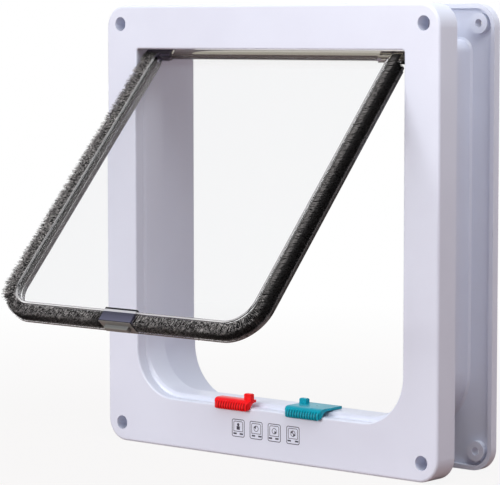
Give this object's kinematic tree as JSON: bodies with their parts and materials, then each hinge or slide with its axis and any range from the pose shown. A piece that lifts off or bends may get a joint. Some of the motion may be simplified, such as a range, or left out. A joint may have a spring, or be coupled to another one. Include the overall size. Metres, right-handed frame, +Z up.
{
  "type": "cat flap",
  "caption": "Pet door with a clear swing flap sealed by dark pile, a two-frame tunnel that fits the door's thickness, a magnet catch and sliding locks on the sill.",
  "frame": {"origin": "middle of the four screw holes, on the plane where the front frame meets the door", "axes": "+X to the right seen from the room, +Y through the door away from the room, +Z up"},
  "size_m": [0.236, 0.1748, 0.251],
  "materials": {
    "white_plastic": "satin moulded ABS",
    "clear_plastic": "clear moulded polycarbonate",
    "pile": "dense pile weather strip",
    "smoked_plastic": "smoked translucent plastic",
    "magnet": "plated magnet",
    "steel_pin": "drawn stainless pin",
    "red_plastic": "moulded, ribbed grip",
    "teal_plastic": "moulded, ribbed grip"
  },
  "bodies": {
    "front_frame": {"front_frame": "white_plastic", "hinge_pin_left": "steel_pin", "hinge_pin_right": "steel_pin", "sill_magnet": "magnet", "sill_magnet_cover": "white_plastic"},
    "rear_frame": {"rear_frame": "white_plastic"},
    "flap": {"flap_panel": "clear_plastic", "pile_left": "pile", "pile_right": "pile", "pile_bottom_left": "pile", "pile_bottom_right": "pile", "magnet_clip": "smoked_plastic", "flap_magnet": "magnet"},
    "lock_slider_red": {"lock_slider_red": "red_plastic"},
    "lock_slider_teal": {"lock_slider_teal": "teal_plastic"}
  },
  "joints": [
    {"name": "flap_swing", "type": "hinge", "parent": "front_frame", "child": "flap", "pos_m": [0, -0.0065, 0.0983], "axis": [1, 0, 0], "range_deg": [-28, 112]},
    {"name": "red_lock_slide", "type": "slide", "parent": "front_frame", "child": "lock_slider_red", "axis": [1, 0, 0], "range_m": [-0.006, 0.008]},
    {"name": "teal_lock_slide", "type": "slide", "parent": "front_frame", "child": "lock_slider_teal", "axis": [-1, 0, 0], "range_m": [0, 0.014]},
    {"name": "tunnel_slide", "type": "slide", "parent": "front_frame", "child": "rear_frame", "axis": [0, 1, 0], "range_m": [-0.004, 0.008]}
  ]
}
